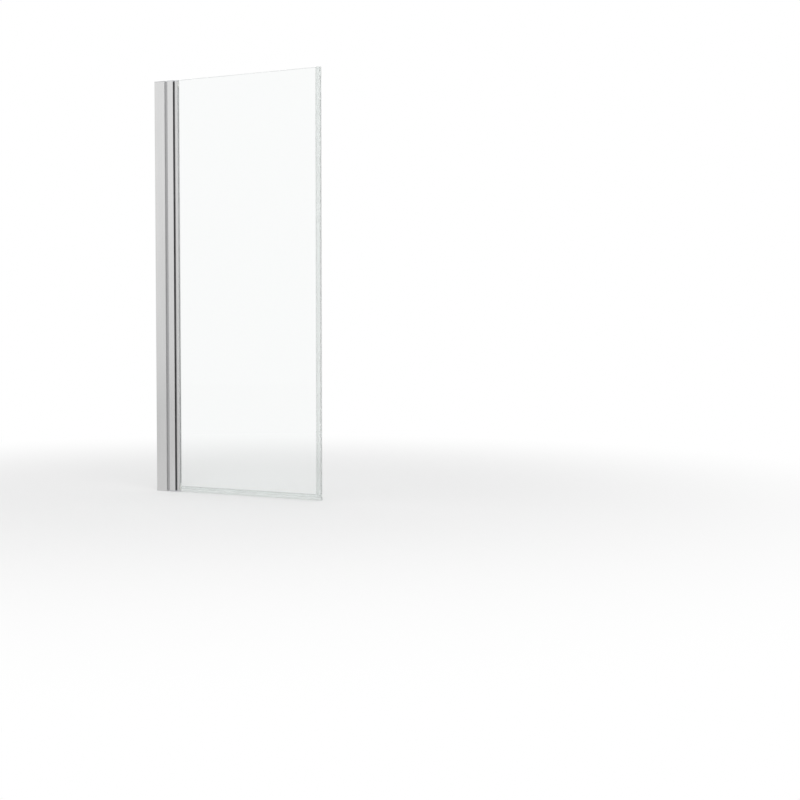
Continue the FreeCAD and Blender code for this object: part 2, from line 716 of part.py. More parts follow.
slot = box(
    "clamp_slot",
    SLOT_BOTTOM,
    negative(SLOT_HALF),
    CLAMP_BOTTOM,
    f"{CLAMP_END} - {SLOT_BOTTOM}",
    f"2 * {SLOT_HALF}",
    CLAMP_HEIGHT,
)
CHAMBER_DEPTH = f"({CLAMP_HALF} - {SLOT_HALF} - 2 * sizes.clamp_wall)"
chambers = [
    box(
        f"chamber_{name}",
        f"{PIVOT_X} - sizes.chamber_set_back",
        low,
        CLAMP_BOTTOM,
        "sizes.chamber_set_back + sizes.clamp_grip - sizes.clamp_wall",
        CHAMBER_DEPTH,
        CLAMP_HEIGHT,
    )
    for name, low in (
        ("back", f"{SLOT_HALF} + sizes.clamp_wall"),
        ("front", negative(f"{CLAMP_HALF} - sizes.clamp_wall")),
    )
]
insert_screw_heights = {
    "top": f"{CLAMP_TOP} - sizes.insert_screw_drop",
    "bottom": f"{CLAMP_BOTTOM} + sizes.insert_screw_drop",
}
GRUB_END = f"({CLAMP_HALF} - sizes.insert_screw_sink - sizes.insert_screw_length)"
grub_holes = [
    cylinder(
        f"grub_hole_{place}",
        PIVOT_X,
        "0",
        height,
        "sizes.insert_screw / 2 + sizes.fit_room",
        "sizes.clamp_thickness",
        ALONG_Y,
    )
    for place, height in insert_screw_heights.items()
]
clamp_whole = fuse("clamp_whole", [nose, cheeks])
node(cut("glass_clamp_cut", clamp_whole, [slot] + chambers + grub_holes), "glass_clamp")

# Pivot inserts: acetal blocks in both ends of the slot, bored for the pins. A thin web closes the
# notch in the glass. One grub screw holds each.
insert_parts = {"top": f"{CLAMP_TOP} - sizes.insert_length", "bottom": CLAMP_BOTTOM}
BORE_DEPTH = "(sizes.pin_engagement + sizes.insert_bore_spare)"
for place, low in insert_parts.items():
    block = box(
        f"{place}_insert_block",
        SLOT_BOTTOM,
        negative(SLOT_HALF),
        low,
        f"{CLAMP_END} - {SLOT_BOTTOM}",
        f"2 * {SLOT_HALF}",
        "sizes.insert_length",
    )
    web = box(
        f"{place}_insert_web",
        SLOT_BOTTOM,
        negative(GLASS_HALF),
        f"{UPPER_NOTCH} + sizes.notch_round" if place == "top" else low,
        f"{CLAMP_END} - {SLOT_BOTTOM} + sizes.insert_web",
        "sizes.glass_thickness",
        "sizes.insert_length + sizes.insert_gap - sizes.notch_round",
    )
    bore = cylinder(
        f"{place}_insert_bore",
        PIVOT_X,
        "0",
        f"{CLAMP_TOP} - {BORE_DEPTH}" if place == "top" else CLAMP_BOTTOM,
        "sizes.pin_diameter / 2 + sizes.pin_running",
        BORE_DEPTH,
    )
    thread = cylinder(
        f"{place}_insert_thread",
        PIVOT_X,
        f"{GRUB_END} - sizes.fit_room",
        insert_screw_heights[place],
        "sizes.insert_screw / 2 + sizes.fit_room",
        "sizes.clamp_thickness",
        ALONG_Y,
    )
    solid = fuse(f"{place}_insert_whole", [block, web])
    node(cut(f"{place}_insert_cut", solid, [bore, thread]), f"pivot_insert_{place}")
grub_screws = [
    cylinder(
        f"grub_screw_{place}",
        PIVOT_X,
        GRUB_END,
        height,
        "sizes.insert_screw / 2",
        "sizes.insert_screw_length",
        ALONG_Y,
    )
    for place, height in insert_screw_heights.items()
]
node(group("insert_screw_set", grub_screws), "insert_screws")

# Glass panel: clear toughened glass with ground edges and a notch at both hinge corners, where the
# pivots pass.
glass = doc.addObject("PartDesign::Body", "glass_body")
glass_sketch = sketch_on(glass, "XZ_Plane", "glass_outline")
draw_loop(
    glass_sketch,
    [
        (NOTCH_EDGE, "sizes.glass_lift"),
        (GLASS_RIGHT, "sizes.glass_lift"),
        (GLASS_RIGHT, "sizes.screen_height"),
        (NOTCH_EDGE, "sizes.screen_height"),
        (NOTCH_EDGE, UPPER_NOTCH),
        (GLASS_LEFT, UPPER_NOTCH),
        (GLASS_LEFT, LOWER_NOTCH),
        (NOTCH_EDGE, LOWER_NOTCH),
    ],
)
sheet_of_glass = pad(glass, glass_sketch, "glass_sheet", "sizes.glass_thickness")
sheet_of_glass.SideType = "Symmetric"
doc.recompute()
notch_edges = []
for index, edge in enumerate(sheet_of_glass.Shape.Edges, start=1):
    ends = [vertex.Point for vertex in edge.Vertexes]
    across = abs(ends[0].y - ends[-1].y) > SAME_PLACE
    in_notch = any(abs(ends[0].z - value(level)) < SAME_PLACE for level in (LOWER_NOTCH, UPPER_NOTCH))
    if across and in_notch and abs(ends[0].x - value(NOTCH_EDGE)) < SAME_PLACE:
        notch_edges.append(f"Edge{index}")
notch_corners = glass.newObject("PartDesign::Fillet", "notch_corners")
notch_corners.Base = (sheet_of_glass, notch_edges)
notch_corners.setExpression("Radius", "sizes.notch_round")
doc.recompute()
broad_faces = [
    f"Face{index}"
    for index, face in enumerate(notch_corners.Shape.Faces, start=1)
    if face.BoundBox.YLength < SAME_PLACE
]
arris = glass.newObject("PartDesign::Chamfer", "arris")
arris.Base = (notch_corners, broad_faces)
arris.setExpression("Size", "sizes.glass_arris")
node(glass, "glass_panel")

# Glazing gasket: a soft U-shaped strip that wraps the glass edge inside the clamp.
gasket_section = [
    (SLOT_BOTTOM, negative(SLOT_HALF)),
    (f"{CLAMP_END} + sizes.gasket_lip", negative(SLOT_HALF)),
    (f"{CLAMP_END} + sizes.gasket_lip", negative(GLASS_HALF)),
    (GLASS_LEFT, negative(GLASS_HALF)),
    (GLASS_LEFT, GLASS_HALF),
    (f"{CLAMP_END} + sizes.gasket_lip", GLASS_HALF),
    (f"{CLAMP_END} + sizes.gasket_lip", SLOT_HALF),
    (SLOT_BOTTOM, SLOT_HALF),
]
gasket = extrusion("gasket_body", [gasket_section], f"{UPPER_NOTCH} - {LOWER_NOTCH}", LOWER_NOTCH)
node(gasket, "glazing_gasket")

# Free-edge strip: a clear push-on profile with a hollow nose that takes knocks. It stands on the
# bottom seal.
half_strip = [
    (f"{GLASS_RIGHT} - sizes.strip_leg", GLASS_HALF),
    (f"{GLASS_RIGHT} - sizes.strip_leg", STRIP_HALF),
    ("sizes.screen_width", STRIP_HALF),
]
strip_section = half_strip + [(x, negative(y)) for x, y in reversed(half_strip)]
strip_section += [(GLASS_RIGHT, negative(GLASS_HALF)), (GLASS_RIGHT, GLASS_HALF)]
STRIP_LENGTH = f"(sizes.screen_height - {STRIP_BOTTOM})"
strip = extrusion("strip_body", [strip_section], STRIP_LENGTH, STRIP_BOTTOM)
nose_corners = [("sizes.screen_width", STRIP_HALF), ("sizes.screen_width", negative(STRIP_HALF))]
round_uprights(strip, "strip_nose_edges", nose_corners, "sizes.strip_round")
strip_hollow = cylinder(
    "strip_hollow",
    f"{GLASS_RIGHT} + sizes.strip_nose / 2",
    "0",
    STRIP_BOTTOM,
    "sizes.strip_bore / 2",
    STRIP_LENGTH,
)
node(cut("edge_strip_cut", strip, [strip_hollow]), "edge_strip")

# Bottom seal: a clear push-on profile under the whole width of the glass. A fin wipes the rim, and a
# lip on the bath side throws drips back into the bath.
WEB_UNDERSIDE = "(sizes.glass_lift - sizes.sweep_web)"
seal = doc.addObject("PartDesign::Body", "bottom_seal_body")
seal_sketch = sketch_on(seal, "YZ_Plane", "bottom_seal_section")
draw_loop(
    seal_sketch,
    [
        (GLASS_HALF, "sizes.glass_lift"),
        (GLASS_HALF, SWEEP_TOP),
        (STRIP_HALF, SWEEP_TOP),
        (STRIP_HALF, WEB_UNDERSIDE),
        ("sizes.drip_reach", "sizes.drip_lift"),
        ("sizes.drip_reach - sizes.drip_wall", "sizes.drip_lift"),
        (f"{STRIP_HALF} - sizes.drip_wall", WEB_UNDERSIDE),
        ("sizes.sweep_fin / 2", WEB_UNDERSIDE),
        ("sizes.sweep_fin / 2", "sizes.sweep_rim_gap"),
        ("-sizes.sweep_fin / 2", "sizes.sweep_rim_gap"),
        ("-sizes.sweep_fin / 2", WEB_UNDERSIDE),
        (negative(STRIP_HALF), WEB_UNDERSIDE),
        (negative(STRIP_HALF), SWEEP_TOP),
        (negative(GLASS_HALF), SWEEP_TOP),
        (negative(GLASS_HALF), "sizes.glass_lift"),
    ],
)
SEAL_START = f"({PIVOT_X} + sizes.sweep_start)"
SEAL_END = "(sizes.screen_width - sizes.sweep_set_back)"
pad(seal, seal_sketch, "bottom_seal_length", f"{SEAL_END} - {SEAL_START}")
bind(seal, x=SEAL_START)
node(seal, "bottom_seal")

doc.recompute()
faulty = [item.Name for item in doc.Objects if "Invalid" in item.State or "Error" in item.State]
if faulty:
    raise RuntimeError(f"these objects failed: {faulty}")
for piece in nodes:
    if piece.Shape.isNull() or not piece.Shape.isValid():
        raise RuntimeError(f"{piece.Label} has no valid shape")

os.makedirs("parts", exist_ok=True)
for piece in nodes:
    piece.Shape.exportStep(f"parts/{piece.Label}.step")
    size = piece.Shape.BoundBox
    print(
        f"{piece.Label:22s} solids {len(piece.Shape.Solids)} volume {piece.Shape.Volume:12.1f}"
        f" X {size.XMin:7.2f}..{size.XMax:7.2f} Y {size.YMin:6.2f}..{size.YMax:6.2f}"
        f" Z {size.ZMin:7.2f}..{size.ZMax:7.2f}"
    )
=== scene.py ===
import math
import bpy
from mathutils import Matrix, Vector


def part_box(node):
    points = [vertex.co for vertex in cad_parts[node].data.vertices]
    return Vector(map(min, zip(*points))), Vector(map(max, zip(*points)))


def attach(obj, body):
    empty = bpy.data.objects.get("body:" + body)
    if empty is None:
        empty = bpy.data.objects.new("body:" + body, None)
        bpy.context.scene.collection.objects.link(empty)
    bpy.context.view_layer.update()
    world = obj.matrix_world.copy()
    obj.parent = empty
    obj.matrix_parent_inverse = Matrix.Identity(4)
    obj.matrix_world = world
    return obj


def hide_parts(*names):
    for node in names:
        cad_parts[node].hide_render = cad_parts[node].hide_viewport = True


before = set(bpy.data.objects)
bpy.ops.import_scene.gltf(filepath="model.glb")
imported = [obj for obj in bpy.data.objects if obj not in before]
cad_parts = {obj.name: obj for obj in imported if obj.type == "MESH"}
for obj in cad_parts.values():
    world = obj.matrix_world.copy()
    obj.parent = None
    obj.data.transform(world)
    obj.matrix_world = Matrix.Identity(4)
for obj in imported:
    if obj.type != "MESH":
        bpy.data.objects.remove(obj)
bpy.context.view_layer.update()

# Wall channel: an aluminium extrusion, polished and clear anodised, that is screwed to the wall.
# The die leaves faint lines along its whole length, and the sawn ends stay duller than the faces.
POLISH_FADE = 0.002


class Wire:
    """One output of a shader node. Arithmetic on wires adds the Math nodes that work it out."""

    def __init__(self, tree, socket=None):
        self.tree = tree
        self.socket = socket

    def node(self, kind, settings=None, sockets=None, output=0):
        """Adds a node of any type: first its settings, then the values or links of its sockets."""
        made = self.tree.nodes.new(kind)
        for name, setting in (settings or {}).items():
            setattr(made, name, setting)
        for name, filling in (sockets or {}).items():
            if isinstance(filling, Wire):
                self.tree.links.new(filling.socket, made.inputs[name])
            else:
                made.inputs[name].default_value = filling
        return Wire(self.tree, made.outputs[output] if made.outputs else None)

    def worked_out(self, operation, first, second):
        return self.node("ShaderNodeMath", {"operation": operation}, {0: first, 1: second})

    def __add__(self, other):
        return self.worked_out("ADD", self, other)

    def __radd__(self, other):
        return self.worked_out("ADD", other, self)

    def __sub__(self, other):
        return self.worked_out("SUBTRACT", self, other)

    def __rsub__(self, other):
        return self.worked_out("SUBTRACT", other, self)

    def __mul__(self, other):
        return self.worked_out("MULTIPLY", self, other)

    def __rmul__(self, other):
        return self.worked_out("MULTIPLY", other, self)

    def __gt__(self, other):
        return self.worked_out("GREATER_THAN", self, other)

    def between(self, low, high):
        """0 below low, 1 above high and smooth in between."""
        settings = {"interpolation_type": "SMOOTHSTEP", "clamp": True}
        sockets = {"Value": self, "From Min": low, "From Max": high}
        return self.node("ShaderNodeMapRange", settings, sockets)

    def tinted(self, low, high):
        """The colour low where this wire is 0 and high where it is 1. Either may be a wire."""
        ends = [end if isinstance(end, Wire) else (*end, 1) for end in (low, high)]
        sockets = {0: self, 6: ends[0], 7: ends[1]}
        return self.node("ShaderNodeMix", {"data_type": "RGBA"}, sockets, output=2)

    def part(self, coordinate, axis):
        """One part, X, Y or Z, of a texture coordinate such as Object or Normal."""
        whole = self.node("ShaderNodeTexCoord", output=coordinate)
        return self.node("ShaderNodeSeparateXYZ", None, {"Vector": whole}, output=axis)

    def grain(self, scale, detail=2.0):
        """Noise at so many cells a metre along X, Y and Z, in the piece's own frame."""
        place = self.node("ShaderNodeTexCoord", output="Object")
        settings = {"operation": "MULTIPLY"}
        stretched = self.node("ShaderNodeVectorMath", settings, {0: place, 1: scale})
        sockets = {"Vector": stretched, "Scale": 1.0, "Detail": detail}
        return self.node("ShaderNodeTexNoise", None, sockets)

    def facing(self, axis):
        """1 on faces square to an axis of the piece and 0 on the others."""
        across = self.part("Normal", axis)
        return across * across > 0.8

    def bumped(self, depth):
        """A normal from this wire as a height, with its full range so many metres deep."""
        sockets = {"Strength": 1.0, "Distance": depth, "Height": self}
        return self.node("ShaderNodeBump", None, sockets)


def new_material(name):
    """An empty material, and the wire that its nodes start from."""
    material = bpy.data.materials.new(name)
    material.use_nodes = True
    material.node_tree.nodes.clear()
    return material, Wire(material.node_tree)


def dress(material, *names):
    """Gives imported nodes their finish."""
    for name in names:
        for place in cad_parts[name].material_slots:
            place.material = material


def extruded_metal(name, dull, bright, unpolished_shaded_to=None):
    """Anodised extrusion: die lines along Z, slow clouds in the polish, duller sawn ends.

    What lies nearer to the wall than the given distance keeps the grey surface that the die gave
    it, and that grey is darkened further as painted shade for the recess it stands in.
    """
    material, start = new_material(name)
    die_lines = start.grain((1600, 1600, 1.2), detail=3.0)
    clouds = start.grain((18, 18, 5), detail=1.0)
    sawn = start.facing("Z")
    saw_marks = start.grain((2500, 60, 60), detail=1.0)
    polish = die_lines * 0.6 + clouds * 0.4
    height = die_lines + sawn * (saw_marks - die_lines)
    colour = polish.between(0.3, 0.7).tinted(dull, bright)
    roughness = 0.17 + polish * 0.12 + sawn * 0.22
    # Near the wall the colour turns a darker grey: partly the unpolished mill finish, partly
    # painted shade for the recess between the channel and the tube.
    if unpolished_shaded_to is not None:
        from_wall = start.part("Object", "X")
        unpolished_and_shaded = 1 - from_wall.between(unpolished_shaded_to, unpolished_shaded_to + POLISH_FADE)
        mill_grey_and_painted_shade = die_lines.tinted((0.46, 0.46, 0.465), (0.56, 0.56, 0.565))
        colour = unpolished_and_shaded.tinted(colour, mill_grey_and_painted_shade)
        roughness = roughness + unpolished_and_shaded * 0.25
    shader = start.node(
        "ShaderNodeBsdfPrincipled",
        None,
        {
            "Base Color": colour,
            "Metallic": 1.0,
            "Roughness": roughness,
            "Normal": height.bumped(0.000012),
        },
    )
    start.node("ShaderNodeOutputMaterial", None, {"Surface": shader})
    return material


channel_metal = extruded_metal("channel_metal", dull=(0.7, 0.7, 0.7), bright=(0.76, 0.76, 0.76))
dress(channel_metal, "wall_channel")

# Channel cap and screw covers: silver-grey mouldings pushed into the channel's top end and over the
# adjusting screws. Their faces have the fine spark texture of the mould.


def moulded(name, dark, light, roughness, depth):
    """Moulded plastic: a fine even texture, with slightly uneven colour and gloss."""
    material, start = new_material(name)
    texture = start.grain((2200, 2200, 2200), detail=1.0)
    flow = start.grain((45, 45, 45), detail=2.0)
    shader = start.node(
        "ShaderNodeBsdfPrincipled",
        None,
        {
            "Base Color": (flow * 0.7 + texture * 0.3).between(0.25, 0.75).tinted(dark, light),
            "Roughness": roughness - 0.06 + flow * 0.12,
            "Normal": texture.bumped(depth),
        },
    )
    start.node("ShaderNodeOutputMaterial", None, {"Surface": shader})
    return material


cap_plastic = moulded(
    "cap_plastic", dark=(0.5, 0.5, 0.51), light=(0.58, 0.58, 0.59), roughness=0.42, depth=0.00003
)
dress(cap_plastic, "channel_cap", "screw_covers")

# Adjusting screws: three M4 pan heads of plain stainless steel, turned and rolled, on the bath side
# under their covers. Loosened, they let the upright slide; tight, they hold it.
ROUND = 24
RINGS_A_PITCH = 4
RUN_OUT_RINGS = 5
THREAD_DEPTH = 0.38
DRIVE_TAPER = ((0.4, 1), (0.85, 0.75), (1, 0))
ADJUSTING_SPACING = 0.6


def turned_steel(name, dark, light):
    """Stainless steel with the marks of the tool round its own Z axis."""
    material, start = new_material(name)
    rings = start.grain((700, 700, 4200), detail=2.0)
    stain = start.grain((140, 140, 140), detail=2.0)
    shader = start.node(
        "ShaderNodeBsdfPrincipled",
        None,
        {
            "Base Color": (rings * 0.5 + stain * 0.5).between(0.3, 0.7).tinted(dark, light),
            "Metallic": 1.0,
            "Roughness": 0.22 + stain * 0.16,
            "Normal": rings.bumped(0.00001),
        },
    )
    start.node("ShaderNodeOutputMaterial", None, {"Surface": shader})
    return material


def cross_recess(arm):
    """Outline of a cross recess: from its middle out, at every 15 degrees of a turn."""
    quarter = ROUND // 4
    for turn in range(ROUND):
        slant = min(turn % quarter, quarter - turn % quarter) * math.tau / ROUND
        side = arm * math.tan(math.tau / ROUND) / max(math.sin(slant), 0.001)
        yield min(arm / math.cos(slant), side)


def hex_socket(across_flats):
    """Outline of a hexagon socket: from its middle out, at every 15 degrees of a turn."""
    sixth = ROUND // 6
    for turn in range(ROUND):
        slant = abs((turn + sixth // 2) % sixth - sixth // 2) * math.tau / ROUND
        yield across_flats / 2 / math.cos(slant)


def pan_head(radius, rounding, depth, neck):
    """Rings (radius, height) of a pan head: its rounded shoulder, its side and its seat."""
    rings = []
    for step in range(ROUND // 4 + 1):
        slant = step * math.tau / ROUND
        reach = radius - rounding + rounding * math.sin(slant)
        rings.append((reach, rounding * (math.cos(slant) - 1)))
    return rings + [(radius, -depth), (neck, -depth)]


def screw_mesh(name, drive, drive_depth, head, shank, length, pitch):
    """A steel screw along -Z with its face at 0.

    From the face: the drive's recess, the head's rings and the thread, which runs out at both ends.
    """
    drive = list(drive)
    rings = [[(wide * reach, -deep * drive_depth) for reach in drive] for wide, deep in DRIVE_TAPER]
    rings += [[(radius, height)] * ROUND for radius, height in head]
    seat = head[-1][1]
    count = int((length + seat) / pitch * RINGS_A_PITCH)
    for index in range(count + 1):
        height = seat - (length + seat) * index / count
        full = min(1, (index + 1) / RUN_OUT_RINGS, (count - index) / RUN_OUT_RINGS)
        ring = []
        for turn in range(ROUND):
            share = (height / pitch - turn / ROUND) % 1
            root = abs(2 * share - 1)
            ring.append((shank - THREAD_DEPTH * pitch * (root * full + 0.5 * (1 - full)), height))
        rings.append(ring)
    points = []
    for ring in rings:
        for turn, (radius, height) in enumerate(ring):
            angle = turn * math.tau / ROUND
            points.append((radius * math.cos(angle), radius * math.sin(angle), height))
    faces = [list(range(ROUND)), [len(points) - 1 - turn for turn in range(ROUND)]]
    for low in range(0, len(points) - ROUND, ROUND):
        for turn in range(ROUND):
            after = (turn + 1) % ROUND
            faces.append([low + turn, low + ROUND + turn, low + ROUND + after, low + after])
    mesh = bpy.data.meshes.new(name)
    mesh.from_pydata(points, [], faces)
    mesh.shade_smooth()
    mesh.set_sharp_from_angle(angle=math.radians(32))
    mesh.materials.append(steel)
    return mesh


def put_screw(name, mesh, spot, out, body, node):
    """Puts a screw's face at spot, looking along out, in place of the CAD node it belongs to."""
    screw = bpy.data.objects.new(name, mesh)
    bpy.context.scene.collection.objects.link(screw)
    screw.location = spot
    screw.rotation_mode = "QUATERNION"
    screw.rotation_quaternion = Vector(out).to_track_quat("Z", "Y")
    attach(screw, body)
    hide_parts(node)


steel = turned_steel("turned_steel", dark=(0.5, 0.5, 0.5), light=(0.64, 0.63, 0.62))
adjusting_mesh = screw_mesh(
    "adjusting_screw",
    drive=cross_recess(0.0022),
    drive_depth=0.0016,
    head=pan_head(radius=0.004, rounding=0.0016, depth=0.0022, neck=0.0021),
    shank=0.002,
    length=0.0137,
    pitch=0.0007,
)
low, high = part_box("adjusting_screws")
middle = (low + high) / 2
for place, rise in (("low", -ADJUSTING_SPACING), ("middle", 0), ("high", ADJUSTING_SPACING)):
    name = f"adjusting_screw_{place}"
    spot = (middle.x, high.y, middle.z + rise)
    put_screw(name, adjusting_mesh, spot, (0, 1, 0), "wall_side", "adjusting_screws")

# Clamp nuts and pivot pins: square nuts pressed from plain steel, which the adjusting screws pull
# against the upright's leg, and ground steel dowels pressed into the pivot plates.
dress(steel, "clamp_nuts", "pivot_pin_top", "pivot_pin_bottom")

# Upright: the second extrusion, of the same alloy and finish as the channel. Its tube is polished.
# Its legs slide out of sight in the channel, so the polishing wheel never reached them; their grey
# is darkened further as painted shade for the recess between the channel and the tube.
UNPOLISHED_SHADED_TO = 0.0541

upright_metal = extruded_metal(
    "upright_metal", dull=(0.7, 0.7, 0.7), bright=(0.76, 0.76, 0.76), unpolished_shaded_to=UNPOLISHED_SHADED_TO
)
dress(upright_metal, "hinge_post")

# Pivot plates: zinc castings, polished and chromed, on both ends of the upright. The plating keeps
# the soft ripple of the casting under it.


def chromed_casting(name):
    """Chrome over a cast surface: a soft ripple, fine pits and hardly any colour."""
    material, start = new_material(name)
    ripple = start.grain((160, 160, 160), detail=2.0)
    pits = start.grain((1500, 1500, 1500), detail=0.0)
    shader = start.node(
        "ShaderNodeBsdfPrincipled",
        None,
        {
            "Base Color": ripple.tinted((0.62, 0.63, 0.65), (0.72, 0.73, 0.74)),
            "Metallic": 1.0,
            "Roughness": 0.08 + pits * 0.08,
            "Normal": (ripple + pits * 0.1).bumped(0.00006),
        },
    )
    start.node("ShaderNodeOutputMaterial", None, {"Surface": shader})
    return material


dress(chromed_casting("chromed_casting"), "pivot_plate_top", "pivot_plate_bottom")

# Plate screws: four countersunk steel screws with a coarse thread. They cut their own way into the
# upright's two ports at each end and hold the plates there, with their heads flush.
PORT_X = 0.062
PORT_Y = 0.0083

plate_mesh = screw_mesh(
    "plate_screw",
    drive=cross_recess(0.0021),
    drive_depth=0.0015,
    head=[(0.00355, 0), (0.0037, -0.00015), (0.00165, -0.0022)],
    shank=0.00165,
    length=0.016,
    pitch=0.0011,
)
for end, out in (("top", 1), ("bottom", -1)):
    node = f"plate_screws_{end}"
    low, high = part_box(node)
    face = high.z if out == 1 else low.z
    for side, across in (("outer", -PORT_Y), ("bath", PORT_Y)):
        spot = (PORT_X, across, face)
        put_screw(f"plate_screw_{end}_{side}", plate_mesh, spot, (0, 0, out), "upright", node)

# Pivot inserts and thrust washers: natural white acetal, machined or stamped, slightly waxy, with
# a low sheen where the pins run.
white_acetal = moulded(
    "white_acetal", dark=(0.76, 0.76, 0.74), light=(0.84, 0.84, 0.82), roughness=0.36, depth=0.00001
)
dress(
    white_acetal,
    "pivot_insert_top",
    "pivot_insert_bottom",
    "thrust_washer_top",
    "thrust_washer_bottom",
)

# Hinge seal: a soft dark extrusion pushed into the upright's groove. It is satin, with lines from
# the die along it.


def soft_extrusion(name):
    """Soft dark rubber: lines along Z and a slow pale bloom."""
    material, start = new_material(name)
    lines = start.grain((1400, 1400, 2.0), detail=2.0)
    bloom = start.grain((60, 60, 9), detail=2.0)
    shader = start.node(
        "ShaderNodeBsdfPrincipled",
        None,
        {
            "Base Color": bloom.between(0.3, 0.8).tinted(
                (0.09, 0.09, 0.092), (0.135, 0.135, 0.139)
            ),
            "Roughness": 0.4 + lines * 0.2,
            "Normal": lines.bumped(0.00003),
        },
    )
    start.node("ShaderNodeOutputMaterial", None, {"Surface": shader})
    return material


dress(soft_extrusion("dark_seal"), "hinge_seal")

# Glass clamp: the third aluminium extrusion, polished a little less than the other two. Its round
# nose turns inside the seal, and its two cheeks grip the glass.
clamp_metal = extruded_metal("clamp_metal", dull=(0.65, 0.65, 0.65), bright=(0.71, 0.71, 0.71))
dress(clamp_metal, "glass_clamp")

# Grub screws: plain stainless steel, one at each end of the clamp. Turned in from the bath side
# with a hexagon key, they hold the inserts there.
GRUB_FROM_MIDDLE = 0.7249

grub_mesh = screw_mesh(
    "grub_screw",
    drive=hex_socket(0.002),
    drive_depth=0.0024,
    head=[(0.0016, 0), (0.002, -0.0004)],
    shank=0.002,
    length=0.009,
    pitch=0.0007,
)
low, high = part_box("insert_screws")
middle = (low + high) / 2
for end, rise in (("top", GRUB_FROM_MIDDLE), ("bottom", -GRUB_FROM_MIDDLE)):
    spot = (middle.x, high.y, middle.z + rise)
    put_screw(f"grub_screw_{end}", grub_mesh, spot, (0, 1, 0), "panel", "insert_screws")

# Glass: 6 mm clear toughened glass. It is faintly green, most of all where light runs along it to
# an edge. The edges are ground, so they scatter, and toughening leaves the faces slightly wavy.
GLASS_SHRINK = 0.00002


def clear_through(start, shader, tint):
    """Lets light through to what lies behind, where only its shadow is asked for."""
    shadow = start.node("ShaderNodeLightPath", output="Is Shadow Ray")
    through = start.node("ShaderNodeBsdfTransparent", None, {"Color": (*tint, 1)})
    return start.node("ShaderNodeMixShader", None, {0: shadow, 1: shader, 2: through})


def toughened_glass(name):
    """Clear faces with a slow wave, half-matt ground edges and a faint green in the depth."""
    material, start = new_material(name)
    ground = 1 - start.facing("Y")
    grit = start.grain((3000, 3000, 3000), detail=1.0)
    wave = start.grain((9, 9, 4), detail=0.0)
    shader = start.node(
        "ShaderNodeBsdfPrincipled",
        None,
        {
            "Base Color": (1.0, 1.0, 1.0, 1),
            "Roughness": ground * (0.25 + grit * 0.2),
            "IOR": 1.52,
            "Transmission Weight": 1.0,
            "Normal": (wave + ground * grit * 0.3).bumped(0.00004),
        },
    )
    frosted = start.node(
        "ShaderNodeBsdfPrincipled",
        None,
        {
            "Base Color": grit.tinted((0.88, 0.92, 0.905), (0.94, 0.965, 0.955)),
            "Roughness": 0.5 + grit * 0.2,
            "Normal": grit.bumped(0.00002),
        },
    )
    edged = start.node("ShaderNodeMixShader", None, {0: ground * 0.6, 1: shader, 2: frosted})
    absorption = start.node(
        "ShaderNodeVolumeAbsorption", None, {"Color": (0.5, 0.62, 0.58, 1), "Density": 14.0}
    )
    surface = clear_through(start, edged, (0.95, 0.97, 0.96))
    start.node("ShaderNodeOutputMaterial", None, {"Surface": surface, "Volume": absorption})
    return material


dress(toughened_glass("toughened_glass"), "glass_panel")
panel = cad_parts["glass_panel"]
whole = panel.modifiers.new("whole", "WELD")
whole.merge_threshold = 0.000001
air = panel.modifiers.new("air_round_the_glass", "DISPLACE")
air.mid_level = 0.0
air.strength = -GLASS_SHRINK

# Gasket: a soft translucent strip between the glass and the clamp. It is milky, so its thin lips
# show as a light grey line beside the clamp.
milky_gasket = moulded(
    "milky_gasket", dark=(0.62, 0.63, 0.63), light=(0.7, 0.71, 0.71), roughness=0.45, depth=0.00001
)
dress(milky_gasket, "glazing_gasket")

# Free-edge strip and bottom seal: clear flexible plastic, extruded and pushed onto the edges of the
# glass. It is faintly hazy and shows the die's lines along its length. Its lips are painted greyer,
# as shade for the dark lines that they show.
STRIP_LIPS = [(0.67, 0.6725)]
SEAL_LIPS = [(0.0185, 0.021), (0.0, 0.003)]
LIP_BLUR = 0.0004


def faint_green(shade):
    """A grey of this shade with the least touch of green."""
    return shade, shade + 0.013, shade + 0.009


def clear_plastic(name, scale, shade, axis, lips, lip_painted_shade):
    """Clear extrusion. Between each two places in lips, along an axis, it is thicker, and its
    colour is greyer as painted shade for the dark line that the lip shows.
    """
    material, start = new_material(name)
    across = start.part("Object", axis)
    # Painted shade: the lips' colour is made greyer to stand for the dark lines that their edges
    # show.
    grey = sum(
        across.between(low - LIP_BLUR, low) * (1 - across.between(high, high + 2 * LIP_BLUR))
        for low, high in lips
    )
    lines = start.grain(scale, detail=2.0)
    haze = start.grain([min(30, 8 * cells) for cells in scale], detail=2.0)
    clear = haze.tinted(faint_green(shade - 0.02), faint_green(shade + 0.02))
    shader = start.node(
        "ShaderNodeBsdfPrincipled",
        None,
        {
            "Base Color": grey.tinted(clear, faint_green(lip_painted_shade)),
            "Roughness": 0.02 + haze * 0.04,
            "IOR": 1.5,
            "Transmission Weight": 0.94,
            "Normal": lines.bumped(0.000015),
        },
    )
    surface = clear_through(start, shader, (0.88, 0.9, 0.89))
    start.node("ShaderNodeOutputMaterial", None, {"Surface": surface})
    return material


clear_strip = clear_plastic(
    "clear_strip", scale=(900, 900, 0.4), shade=0.9, axis="X", lips=STRIP_LIPS, lip_painted_shade=0.8
)
dress(clear_strip, "edge_strip")
clear_seal = clear_plastic(
    "clear_seal", scale=(0.4, 900, 900), shade=0.94, axis="Z", lips=SEAL_LIPS, lip_painted_shade=0.84
)
dress(clear_seal, "bottom_seal")

